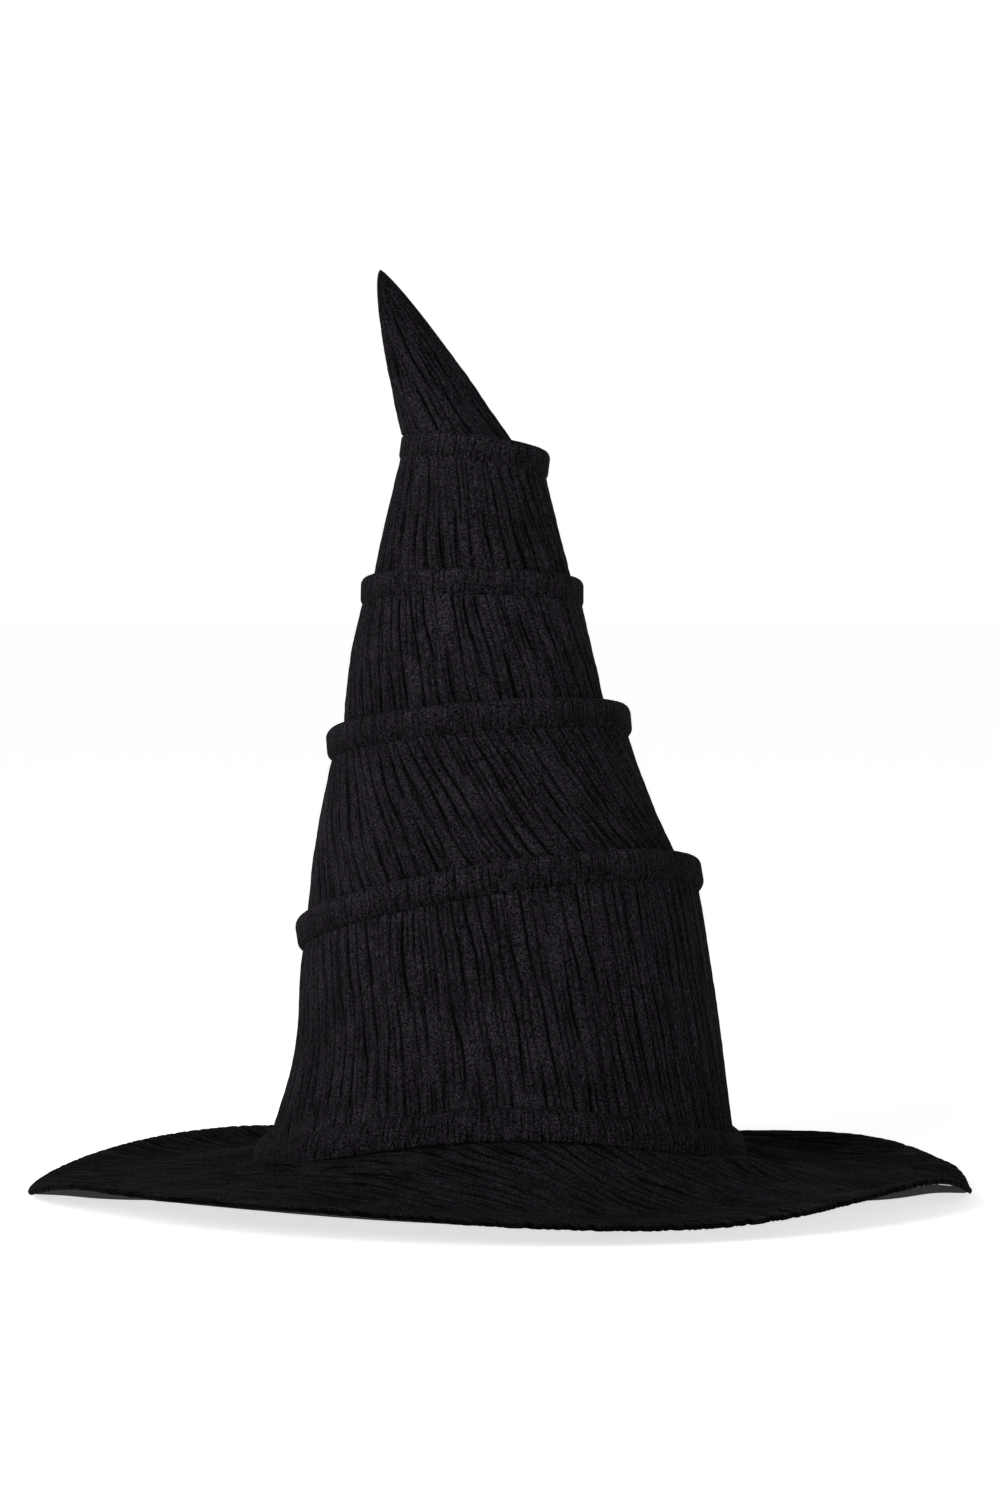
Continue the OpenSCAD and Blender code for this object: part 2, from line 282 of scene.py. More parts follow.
def cloth_mesh(name, grid, u, v, painted_shade=None, closed=True, cap=None):
    """A mesh of quads from a grid of points. Its UVs are metres of cloth, and the painted shade it is given
    (darker creases, seams and edges, lighter ridges and tops) is kept for colour.

    cap adds a point that closes the grid's last row."""
    n, m = grid.shape[:2]
    index = np.arange(n * m).reshape(n, m)
    right = np.roll(index, -1, 0) if closed else index[1:]
    left = index if closed else index[:-1]
    quads = np.stack([left[:, :-1], right[:, :-1], right[:, 1:], left[:, 1:]], -1).reshape(-1, 4)
    faces = quads.tolist()
    points = grid.reshape(-1, 3).tolist()
    if cap is not None:
        points.append(list(cap))
        faces += [[int(a), int(b), n * m] for a, b in zip(left[:, -1], right[:, -1])]
    mesh = bpy.data.meshes.new(name)
    mesh.from_pydata(points, [], faces)
    mesh.shade_smooth()
    loops = np.empty(len(mesh.loops), int)
    mesh.loops.foreach_get("vertex_index", loops)
    us = np.append(np.broadcast_to(u, (n, m)).ravel(), 0.0)[loops]
    vs = np.append(np.broadcast_to(v, (n, m)).ravel(), np.max(v))[loops]
    if closed:
        around = float(np.max(u)) * n / (n - 1)
        corner = np.where(loops < n * m, loops // m, n)
        face_of = np.repeat(np.arange(len(mesh.polygons)), [len(f) for f in faces])
        last = np.zeros(len(faces), bool)
        np.logical_or.at(last, face_of, corner == n - 1)
        us = np.where(last[face_of] & (corner == 0), around, us)
    layer = mesh.uv_layers.new(name="cloth")
    layer.data.foreach_set("uv", np.stack([us, vs], -1).ravel())
    # colour factor of painted shade and painted light, read by the crinkled cloth
    shade = np.ones(len(points)) if painted_shade is None else np.append(painted_shade.ravel(), 1.0)[:len(points)]
    mesh.attributes.new("painted_shade", "FLOAT", "POINT").data.foreach_set("value", shade)
    mesh.validate()
    piece = bpy.data.objects.new(name, mesh)
    bpy.context.scene.collection.objects.link(piece)
    return piece


def thicken(piece, amount):
    solid = piece.modifiers.new("thickness", "SOLIDIFY")
    solid.thickness = amount
    solid.offset = 0


def stitches(name, path, length, space, thick):
    """Thread stitches all along a path that closes, each a short lozenge of six sides."""
    ends = np.vstack([path, path[:1]])
    step = np.linalg.norm(np.diff(ends, axis=0), axis=1)
    along = np.concatenate([[0], np.cumsum(step)])
    count = int(along[-1] // (length + space))
    pitch = along[-1] / count
    points, faces = [], []
    for k in range(count):
        span = np.array([0, 0.15, 0.5, 0.85, 1.0]) * length + k * pitch
        middle = np.stack([np.interp(span, along, ends[:, c]) for c in range(3)], -1)
        ahead = middle[-1] - middle[0]
        ahead /= np.linalg.norm(ahead)
        side = np.cross(ahead, [0.0, 0.0, 1.0])
        side /= np.linalg.norm(side)
        lift = np.cross(side, ahead)
        base = len(points)
        for i, swell in enumerate([0.25, 0.8, 1.0, 0.8, 0.25]):
            for q in range(6):
                a = q / 6 * TURN
                points.append(middle[i] + thick / 2 * swell * (math.cos(a) * side + math.sin(a) * lift))
        for i in range(4):
            for q in range(6):
                a, b = base + 6 * i + q, base + 6 * i + (q + 1) % 6
                faces.append([a, b, b + 6, a + 6])
        faces.append([base + q for q in range(5, -1, -1)])
        faces.append([base + 24 + q for q in range(6)])
    mesh = bpy.data.meshes.new(name)
    mesh.from_pydata([tuple(p) for p in points], [], faces)
    mesh.shade_smooth()
    piece = bpy.data.objects.new(name, mesh)
    bpy.context.scene.collection.objects.link(piece)
    return piece


# ---- materials -------------------------------------------------------------

class Nodes:
    """Short hand for a material's node tree."""

    def __init__(self, name):
        self.material = bpy.data.materials.new(name)
        self.material.use_nodes = True
        self.tree = self.material.node_tree
        self.shader = self.tree.nodes["Principled BSDF"]

    def add(self, kind, inputs=None, **settings):
        node = self.tree.nodes.new(kind)
        for key, value in settings.items():
            setattr(node, key, value)
        for key, value in (inputs or {}).items():
            self.set(node.inputs[key], value)
        return node

    def set(self, socket, value):
        if isinstance(value, bpy.types.NodeSocket):
            self.tree.links.new(value, socket)
        else:
            socket.default_value = value

    def math(self, operation, a, b=0.5):
        return self.add("ShaderNodeMath", {0: a, 1: b}, operation=operation).outputs[0]

    def span(self, value, low, high, to_low=0.0, to_high=1.0):
        inputs = {"Value": value, "From Min": low, "From Max": high, "To Min": to_low, "To Max": to_high}
        return self.add("ShaderNodeMapRange", inputs).outputs[0]

    def noise(self, where, scale, detail=2.0, roughness=0.5):
        inputs = {"Vector": where, "Scale": scale, "Detail": detail, "Roughness": roughness}
        return self.add("ShaderNodeTexNoise", inputs).outputs[0]

    def scaled(self, where, size):
        return self.add("ShaderNodeMapping", {"Vector": where, "Scale": size}).outputs[0]

    def uv(self):
        return self.add("ShaderNodeUVMap", uv_map="cloth").outputs[0]

    def place(self):
        return self.add("ShaderNodeTexCoord").outputs["Object"]

    def tint(self, factor, dark, light):
        inputs = {"Factor": factor, 6: (*dark, 1.0), 7: (*light, 1.0)}
        return self.add("ShaderNodeMix", inputs, data_type="RGBA").outputs[2]

    def bump(self, height, distance, strength=1.0, under=None):
        inputs = {"Height": height, "Distance": distance, "Strength": strength}
        if under is not None:
            inputs["Normal"] = under
        return self.add("ShaderNodeBump", inputs).outputs[0]

    def finish(self, colour, roughness, normal=None, **constants):
        self.set(self.shader.inputs["Base Color"], colour)
        self.set(self.shader.inputs["Roughness"], roughness)
        if normal is not None:
            self.set(self.shader.inputs["Normal"], normal)
        for key, value in constants.items():
            self.shader.inputs[key.replace("_", " ")].default_value = value
        return self.material


def threads(n, pitch):
    """Height of a plain weave with threads pitch apart, over and under each other."""
    where = n.scaled(n.uv(), (TURN / 2 / pitch, TURN / 2 / pitch, 1.0))
    split = n.add("ShaderNodeSeparateXYZ", {0: where})
    warp = n.math("ABSOLUTE", n.math("SINE", split.outputs[0]))
    weft = n.math("ABSOLUTE", n.math("SINE", split.outputs[1]))
    return n.math("MULTIPLY", warp, weft)


def crinkle_cloth():
    """Matt black crinkled cotton, flecked with lint, with painted shade in the creases and painted light on
    the ridges.
    """
    n = Nodes("crinkle_cloth")
    painted_shade = n.add("ShaderNodeAttribute", attribute_name="painted_shade").outputs["Fac"]
    fleck = n.noise(n.place(), 1400.0, 2.0, 0.6)
    grain = n.noise(n.scaled(n.uv(), (1.0, 0.35, 1.0)), 700.0, 2.0, 0.6)
    tinge = n.noise(n.place(), 420.0, 2.0, 0.6)
    patch = n.noise(n.place(), 24.0, 3.0)
    # painted shade and light: the colour goes dark down in the creases and light up on the ridges
    painted_crease_shade = n.math("POWER", n.span(painted_shade, 0.15, 1.1), 1.7)
    heather = n.span(fleck, 0.37, 0.63, 0.05, 2.0)
    lint = n.math("POWER", n.span(fleck, 0.57, 0.72), 2.0)
    # worn patches at random: the cloth's own tone
    wear_and_painted_darkening = n.span(patch, 0.3, 0.7, 0.82, 1.18)
    # real heather and worn patches, times the painted crease shade, with the ridges painted up to half
    # again as light
    shade = n.math("MULTIPLY", n.math("MULTIPLY", n.span(painted_crease_shade, 0.0, 1.0, 0.0, 1.5), heather), wear_and_painted_darkening)
    # lint flecks, let through only on the ridges by the painted crease shade
    shade = n.math("ADD", shade, n.math("MULTIPLY", n.math("MULTIPLY", lint, painted_crease_shade), 2.2))
    violet = tuple(c * k for c, k in zip(CLOTH, (1.13, 0.95, 1.12)))
    olive = tuple(c * k for c, k in zip(CLOTH, (0.94, 1.05, 0.95)))
    hue = n.tint(n.span(tinge, 0.40, 0.60), olive, violet)
    colour = n.add("ShaderNodeVectorMath", {0: hue, "Scale": shade}, operation="SCALE").outputs[0]
    weave = n.bump(threads(n, 0.42 * MM), 0.10 * MM, 0.7)
    normal = n.bump(grain, 0.45 * MM, 0.8, weave)
    roughness = n.span(fleck, 0.3, 0.7, 0.86, 0.98)
    return n.finish(colour, roughness, normal, Specular_IOR_Level=0.02, Sheen_Weight=0.003,
                    Sheen_Roughness=0.5)


def facing_cloth():
    """Smooth warm grey-black cotton under the brim."""
    n = Nodes("facing_cloth")
    cloud = n.noise(n.place(), 16.0, 3.0)
    slub = n.noise(n.scaled(n.uv(), (1.0, 0.06, 1.0)), 900.0, 2.0)
    dark = tuple(0.8 * c for c in FACING)
    light = tuple(1.25 * c for c in FACING)
    colour = n.tint(n.span(n.math("ADD", cloud, slub), 0.7, 1.3), dark, light)
    normal = n.bump(threads(n, 0.5 * MM), 0.08 * MM, 0.8)
    return n.finish(colour, n.span(slub, 0.3, 0.7, 0.72, 0.86), normal, Specular_IOR_Level=0.02,
                    Sheen_Weight=0.01, Sheen_Roughness=0.5)


def lining_cloth():
    """Black satin lining with a fine twill and a soft gloss."""
    n = Nodes("lining_cloth")
    split = n.add("ShaderNodeSeparateXYZ", {0: n.uv()})
    twill = n.math("SINE", n.math("MULTIPLY", n.math("ADD", split.outputs[0], split.outputs[1]), 9000.0))
    cloud = n.noise(n.place(), 30.0, 2.0)
    dark = tuple(0.75 * c for c in LINING)
    light = tuple(1.5 * c for c in LINING)
    colour = n.tint(n.span(cloud, 0.3, 0.7), dark, light)
    return n.finish(colour, n.span(cloud, 0.3, 0.7, 0.36, 0.48), n.bump(twill, 0.05 * MM, 0.6),
                    Specular_IOR_Level=0.5, Sheen_Weight=0.1, Sheen_Roughness=0.3)


def ribbon():
    """Grosgrain: cross ribs under a millimetre apart, slightly shiny with wear."""
    n = Nodes("ribbon")
    split = n.add("ShaderNodeSeparateXYZ", {0: n.uv()})
    rib = n.math("ABSOLUTE", n.math("SINE", n.math("MULTIPLY", split.outputs[0], 3700.0)))
    cloud = n.noise(n.place(), 40.0, 2.0)
    colour = n.tint(rib, (0.006, 0.0055, 0.007), (0.020, 0.018, 0.021))
    return n.finish(colour, n.span(cloud, 0.3, 0.7, 0.5, 0.68), n.bump(rib, 0.12 * MM, 0.9),
                    Specular_IOR_Level=0.35, Sheen_Weight=0.1, Sheen_Roughness=0.4)


def plain_cloth(name, colour, pitch=None):
    """A coarse plain cloth: woven where pitch is given, as on the label, or else pressed, as buckram."""
    n = Nodes(name)
    weave = threads(n, pitch) if pitch else n.noise(n.place(), 1500.0, 2.0)
    cloud = n.noise(n.place(), 60.0, 2.0)
    dark = tuple(0.7 * c for c in colour)
    shade = n.tint(n.math("MULTIPLY", weave, n.span(cloud, 0.2, 0.8, 0.8, 1.2)), dark, colour)
    return n.finish(shade, n.span(cloud, 0.3, 0.7, 0.79, 0.85), n.bump(weave, 0.1 * MM))


def wadding():
    """White fibre wadding."""
    n = Nodes("wadding")
    fibre = n.noise(n.place(), 700.0, 4.0, 0.75)
    colour = n.tint(fibre, (0.55, 0.54, 0.51), (0.86, 0.85, 0.82))
    return n.finish(colour, n.span(fibre, 0.2, 0.8, 0.88, 1.0), n.bump(fibre, 0.8 * MM))


def smooth_part(name, colour, metallic, low, high):
    """Drawn wire, clip steel or moulded boning, with faint streaks."""
    n = Nodes(name)
    streak = n.noise(n.place(), 240.0, 3.0)
    shade = n.tint(streak, tuple(0.85 * c for c in colour), colour)
    return n.finish(shade, n.span(streak, 0.3, 0.7, low, high), n.bump(streak, 0.02 * MM),
                    Metallic=metallic)


def thread():
    """Black sewing thread with its twist."""
    n = Nodes("thread")
    twist = n.noise(n.scaled(n.place(), (1.0, 1.0, 3.0)), 2600.0, 1.0)
    colour = n.tint(twist, (0.012, 0.011, 0.013), (0.045, 0.042, 0.048))
    return n.finish(colour, n.span(twist, 0.3, 0.7, 0.5, 0.7), n.bump(twist, 0.05 * MM))


MATERIALS = {
    "crinkle_cloth": crinkle_cloth(),
    "facing_cloth": facing_cloth(),
    "lining_cloth": lining_cloth(),
    "ribbon": ribbon(),
    "label_cloth": plain_cloth("label_cloth", (0.50, 0.49, 0.46), 0.6 * MM),
    "buckram": plain_cloth("buckram", (0.68, 0.64, 0.55)),
    "wadding": wadding(),
    "boning": smooth_part("boning", (0.80, 0.79, 0.75), 0.0, 0.35, 0.5),
    "wire_steel": smooth_part("wire_steel", (0.56, 0.57, 0.58), 1.0, 0.25, 0.42),
}
THREAD = thread()


def dress(piece, slot, *replaced):
    """Gives a piece its material and slot, and hides the CAD nodes it stands in for."""
    piece.data.materials.append(MATERIALS[slot])
    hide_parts(*replaced)


# ---- crown -----------------------------------------------------------------

# Slant of the creases in each tier and the tip: metres along the seam for each metre up
SLANT = [0.14, 0.46, 0.20, 0.16, 0.10]
# Points round and up each tier
TIER_GRID = [(1400, 84), (1180, 74), (860, 56), (640, 52), (420, 76)]


def crown_curves(i, angle):
    """Foot and head curves of tier i, and the direction in which its cloth runs."""
    upper = RINGS[i] if i < 4 else None
    if i == 0:
        foot = np.stack([SEAM_R * np.cos(angle), SEAM_R * np.sin(angle), seam_z(angle)], -1)
        foot_up = np.array([0.0, 0.0, 1.0])
    else:
        circle = edge_of("tip_cone" if i == 4 else f"tier_{i + 1}", RINGS[i - 1]["up"], False)
        foot = on_circle({**RINGS[i - 1], "at": circle["at"]}, angle, circle["r"], -FOOT_TUCK)
        foot_up = RINGS[i - 1]["up"]
    if upper is None:
        co = points_of("tip_cone")
        end = co[co[:, 2].argmax()]
        return foot, np.broadcast_to(end, foot.shape), foot_up
    circle = edge_of(f"tier_{i + 1}", upper["up"], True)
    head = on_circle({**upper, "at": circle["at"]}, angle, circle["r"], HEAD_TUCK)
    return foot, head, foot_up + upper["up"]


def tier_shape(i, t, angle):
    """Points of tier i's cloth before crinkling, at shares t of its height."""
    foot, head, up = crown_curves(i, angle)
    middle_foot, middle_head = foot.mean(0), head.mean(0)
    middle = mix(middle_foot, middle_head, t[:, None])[None]
    arm = mix(foot[:, None], head[:, None], t[None, :, None]) - middle
    size = np.linalg.norm(arm, axis=2, keepdims=True)
    full = np.ones_like(t)
    if i == 4:
        full = np.maximum(1 - t, 1e-4) ** -TIP_ROUND
    left = (1 - np.cos(angle))[:, None] / 2
    right = (1 + np.cos(angle))[:, None] / 2
    arch = np.sin(math.pi * np.clip(t, 0, 1))[None]
    swell = [-4.2 * left * arch ** 2 + 0.8 * right * arch, 1.6 * left * arch - 1.4 * right * arch,
             1.6 * left * arch + 0.2 * right * arch, 0.3 * left * arch, 0.0 * left * arch][i] * MM
    return middle + arm * (full[None, :, None] + swell[..., None] / np.maximum(size, 1e-6)), up


def tier(i):
    """One tier of the crown, or the tip, in crinkled cloth."""
    n, m = TIER_GRID[i]
    angle = np.arange(n) / n * TURN
    t = np.linspace(0, 1, m)
    if i == 4:
        t = 0.985 * (1 - (1 - t) ** 1.15)
    grid, up = tier_shape(i, t, angle)
    up = up / np.linalg.norm(up)
    mean_r = np.linalg.norm(grid - grid.mean(0, keepdims=True), axis=2).mean(0)
    around = TURN * (mean_r.mean() if i < 4 else mean_r.max() * 0.75)
    height = np.linalg.norm(np.diff(grid.mean(0), axis=0), axis=1)
    v = np.concatenate([[0], np.cumsum(height)])
    u = angle / TURN * around
    h = crinkle(u[:, None] + 0 * v, v[None] + 0 * u[:, None], around, 40 + 10 * i, CREASE_GAP, SLANT[i])
    taper = np.minimum(1.0, mean_r / (14 * MM))[None]
    grid = grid + normals_of(grid) * ((h - 0.55) * CREASE_DEPTH * taper)[..., None]
    name = "tip_cone" if i == 4 else f"tier_{i + 1}"
    cap = crown_curves(4, angle)[1][0] if i == 4 else None
    # the crinkle's height also goes into the colour, as painted shade in the creases
    piece = cloth_mesh(f"{name}_cloth", grid, u[:, None], v[None], h, cap=cap)
    dress(piece, "crinkle_cloth", name)
    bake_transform(piece)


def oval(q, r, h):
    """Points at angles q on an upright oval with straight sides."""
    return r * np.cos(q), r * np.sin(q) + np.sign(np.sin(q)) * (h / 2 - r)


def welt_section(n, r, h):
    """Section of a roll from its inner foot, round the outside, to its inner top: (out, up, length)."""
    q = np.linspace(math.radians(-158), math.radians(158), n)
    out, rise = oval(q, r, h)
    length = np.concatenate([[0], np.cumsum(np.hypot(np.diff(out), np.diff(rise)))])
    return out, rise, length


def welt(i):
    """A fabric tuck gathered over its hoop, with close ribs across it."""
    ring = RINGS[i]
    n, m = int(TURN * ring["r"] / (0.5 * MM)), 30
    angle = np.arange(n) / n * TURN
    out, rise, length = welt_section(m, WELT_T / 2, WELT_H)
    around = TURN * ring["r"]
    u = angle / TURN * around
    puff = 0.35 * MM * noise(angle / TURN * 24, 0 * angle, 200 + i, 24)
    r = ring["r"] - WELT_T / 2 + out[None] + puff[:, None]
    grid = on_circle(ring, angle[:, None] + 0 * out[None], r, rise[None] + 0 * r)
    h = crinkle(u[:, None] + 0 * length, length[None] + 0 * u[:, None], around, 300 + 10 * i, RIB_GAP,
                run=0.016, wander=0.5)
    grid = grid + normals_of(grid) * ((h - 0.75) * RIB_DEPTH)[..., None]
    share = length / length[-1]
    # painted shade along the welt's lower edge at its seam, and a painted highlight along its upper outer
    # side
    painted_shading = smooth((share - 0.12) / 0.14) * mix(0.88, 1.15, smooth((share - 0.5) / 0.2))
    piece = cloth_mesh(f"welt_{i + 1}_cloth", grid, u[:, None], length[None], h * painted_shading[None])
    dress(piece, "crinkle_cloth", f"welt_{i + 1}")
    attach(piece, f"ring_{i + 1}")


# Height of the roll over the seam, and how far its lower edge lies inside the brim's cloth
BASE_WELT_H = 12.5 * MM
BASE_WELT_TUCK = 0.7 * MM


def base_welt():
    """The padded roll that covers the seam: a soft swell that runs into both brim and crown."""
    thick = WELT_R - SEAM_R + 0.6 * MM
    n, m = 1400, 34
    angle = (np.arange(n) / n * TURN)[:, None]
    share = np.linspace(0, 1, m)[None]
    swell = np.maximum(np.sin(math.pi * share ** 0.75), 0) ** 0.55
    r = SEAM_R - 0.6 * MM + (thick + 0.6 * MM) * swell - 3.2 * MM * share ** 5 + 0 * angle
    low = brim_z(r.ravel(), (angle + 0 * r).ravel()).reshape(r.shape) - BASE_WELT_TUCK
    z = mix(low, seam_z(angle) + BASE_WELT_H, (1 - np.cos(math.pi * share)) / 2)
    grid = np.stack([r * np.cos(angle), r * np.sin(angle), z], -1)
    length = np.concatenate([[0], np.cumsum(np.linalg.norm(np.diff(grid[0], axis=0), axis=1))])
    around = TURN * (SEAM_R + thick)
    u = angle / TURN * around
    h = crinkle(u + 0 * share, length[None] + 0 * u, around, 360, RIB_GAP, run=0.016, wander=0.5)
    grid = grid + normals_of(grid) * ((h - 0.75) * RIB_DEPTH)[..., None]
    # painted shade: a dark line along the roll's lower edge at the brim, and darker again at its top where
    # it meets the crown
    painted_shading = smooth(share * 6 - 0.7) * smooth(14 - 14 * share)
    piece = cloth_mesh("base_welt_cloth", grid, u, length[None], h * painted_shading)
    dress(piece, "crinkle_cloth", "base_welt")
    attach(piece, "base")


def tip_wadding():
    """The tip's stuffing: lumpy fibre in the shape of the cone's end."""
    co = points_of("tip_wadding")
    up = RINGS[3]["up"]
    head = crown_curves(4, np.zeros(1))[1]
    centre = edge_of("tip_cone", up, False)["at"]
    share = (co - centre) @ up / ((head[0] - centre) @ up)
    n, m = 120, 48
    angle = np.arange(n) / n * TURN
    rows = np.linspace(0.01, 0.99, m)
    grid = tier_shape(4, mix(share.min(), share.max(), rows), angle)[0]
    middle = grid.mean(0, keepdims=True)
    arm = grid - middle
    size = np.linalg.norm(arm, axis=2)
    ends = np.clip(np.sin(math.pi * rows), 0, 1) ** 0.3
    lumps = 1 + 0.10 * noise(angle[:, None] / TURN * 9 + 0 * rows, rows[None] * 6 + 0 * size, 77, 9)
    inner = np.maximum(size - 2.6 * MM, 0.3 * size) * ends * np.minimum(lumps, 1.04)
    grid = middle + arm * (inner / size)[..., None]
    piece = cloth_mesh("tip_wadding_fibre", grid, angle[:, None] * 0.01, rows[None] * 0.04, lumps,
                       cap=grid[:, -1].mean(0))
    dress(piece, "wadding", "tip_wadding")
    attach(piece, "tip")


# ---- brim ------------------------------------------------------------------

def polar(r, angle, z):
    """Points on the brim, whose hole is centred on the head opening."""
    shift = HOLE["at"][0] * (BRIM_EDGE - r) / (BRIM_EDGE - HOLE["r"])
    return np.stack([r * np.cos(angle) + shift, r * np.sin(angle), z], -1)


def rim(r):
    """0 to 1 over the last of the brim's width, where its edge is pressed thinner."""
    return smooth((r - BRIM_EDGE + 9 * MM) / (8 * MM))


def brim_top():
    """The brim's crinkled upper cloth, turned over the wired edge."""
    n, m = 2200, 220
    angle = np.arange(n) / n * TURN
    r_in = HOLE["r"] + 1.0 * MM
    edge = (BRIM_T - EDGE_TAPER) / 2
    flat_r = r_in + (BRIM_EDGE - edge - r_in) * np.linspace(0, 1, m)
    turn = np.linspace(0, math.radians(165), 12)[1:]
    r = np.concatenate([flat_r, BRIM_EDGE - edge + edge * np.sin(turn)])
    drop = np.concatenate([np.zeros(m), edge * (1 - np.cos(turn))])
    rr, aa = np.meshgrid(r, angle)
    z = brim_z(rr.ravel(), aa.ravel()).reshape(rr.shape) - drop[None] - 0.4 * EDGE_TAPER * rim(rr)
    grid = polar(rr, aa, z)
    c, s = math.cos(BRIM_CREASE_ANGLE), math.sin(BRIM_CREASE_ANGLE)
    along = grid[..., 0] * c + grid[..., 1] * s
    across = -grid[..., 0] * s + grid[..., 1] * c
    h = crinkle(across, along, None, 500, BRIM_CREASE_GAP, run=0.030, wander=0.7, sharp=0.34)
    ease = np.clip((BRIM_EDGE - rr) / (5 * MM), 0.5, 1.0)
    out = -normals_of(grid)
    grid = grid + out * ((h - 0.45) * BRIM_CREASE_DEPTH * ease)[..., None]
    length = np.concatenate([[0], np.cumsum(np.hypot(np.diff(r), np.diff(drop)))])
    # painted shade: the turned-over edge made darker where it faces the light, and a painted contact shadow
    # along the seam at the foot of the roll
    wear_and_painted_darkening = 1 - 0.6 * smooth(drop / edge) - 0.8 * np.exp(-np.maximum(r - WELT_R, 0) / (1.2 * MM))
    piece = cloth_mesh("brim_top_cloth", grid, angle[:, None] * 0.15, length[None], h * wear_and_painted_darkening[None])
    dress(piece, "crinkle_cloth", "brim_top")
    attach(piece, "base")


def brim_stiffener():
    """The stiff layer between the brim's two cloths, quilted down by rows of stitching."""
    n, m = 360, 60
    angle = np.arange(n) / n * TURN
    r = np.linspace(HOLE["r"] + 1.2 * MM, BRIM_EDGE - STIFFENER_EDGE, m)
    rr, aa = np.meshgrid(r, angle)
    dent = 0.12 * MM * np.abs(np.sin(rr / (9 * MM) * math.pi)) - 0.12 * MM
    z = brim_z(rr.ravel(), aa.ravel()).reshape(rr.shape) - STIFFENER_DEPTH + dent
    piece = cloth_mesh("brim_stiffener_cloth", polar(rr, aa, z), angle[:, None] * 0.15, r[None] - r[0])
    thicken(piece, STIFFENER_T)
    dress(piece, "buckram", "brim_stiffener")
    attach(piece, "base")


def brim_facing():
    """The smooth cloth under the brim, turned up round the hole, with a slight pull at its seams."""
    n, m = 360, 44
    angle = np.arange(n) / n * TURN
    r_in = HOLE["r"] + 0.9 * MM
    r = mix(r_in, BRIM_EDGE - 1.0 * MM, np.linspace(0, 1, m) ** 0.85)
    r = np.concatenate([[r_in - 0.15 * MM], r])
    rr, aa = np.meshgrid(r, angle)
    top = brim_z(rr.ravel(), aa.ravel()).reshape(rr.shape)
    pull = noise(angle[:, None] / TURN * 70 + 0 * r, r[None] / 0.02 + 0 * angle[:, None], 610, 70)
    edge = np.exp(-(BRIM_EDGE - rr) / (9 * MM)) + np.exp(-(rr - r_in) / (7 * MM))
    z = top - BRIM_T + 0.25 * MM + 0.15 * MM * pull * edge + 0.25 * EDGE_TAPER * rim(rr)
    z[:, 0] += 2.3 * MM
    tuck = np.exp(-(BRIM_EDGE - 1.0 * MM - rr) / (0.7 * MM))
    grid = polar(rr, aa, z + 0.5 * MM * tuck)
    length = np.concatenate([[0], np.cumsum(np.diff(r))])
    piece = cloth_mesh("brim_facing_cloth", grid, angle[:, None] * 0.15, length[None])
    piece.data.flip_normals()
    dress(piece, "facing_cloth", "brim_facing")
    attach(piece, "base")


# ---- inside ----------------------------------------------------------------

def sweatband():
    """Grosgrain ribbon round the head opening, stitched near its edges."""
    low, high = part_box("sweatband")
    n, m = 360, 14
    angle = np.arange(n) / n * TURN
    t = np.linspace(0, 1, m)
    radius = HOLE["r"] - 0.4 * MM
    foot = seam_z(angle) - 1.0 * MM
    z = mix(np.minimum(foot, high.z - 8 * MM)[:, None], high.z, t[None])
    wave = noise(angle[:, None] / TURN * 40 + 0 * t, t[None] * 3 + 0 * angle[:, None], 70, 40)
    r = radius + 0.12 * MM * wave
    grid = np.stack([HOLE["at"][0] + r * np.cos(angle)[:, None], r * np.sin(angle)[:, None], z], -1)
    piece = cloth_mesh("sweatband_ribbon", grid, angle[:, None] * radius, t[None] * (high.z - low.z))
    thicken(piece, 0.6 * MM)
    dress(piece, "ribbon", "sweatband")
    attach(piece, "base")
    for name, share in (("upper", 0.90), ("lower", 0.12)):
        row = grid[:, 0] * (1 - share) + grid[:, -1] * share
        middle = np.array([HOLE["at"][0], 0.0, 0.0])
        inward = (row - middle) * [1, 1, 0]
        row = row - inward / np.linalg.norm(inward, axis=1, keepdims=True) * 0.35 * MM
        sewn = stitches(f"sweatband_{name}_stitches", row, 2.6 * MM, 1.0 * MM, 0.45 * MM)
        sewn.data.materials.append(THREAD)
        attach(sewn, "base")


# How far the flat top of the lining hangs in its middle
LINING_SAG = 1.6 * MM


def dome_profile():
    """Radius of the lining at heights, from its CAD shell."""
    co = points_of("lining_side")
    r = np.hypot(co[:, 0] - HOLE["at"][0], co[:, 1])
    levels = np.unique(np.round(co[:, 2], 5))
    return levels, np.array([r[np.abs(co[:, 2] - z) < 2e-5].max() for z in levels])


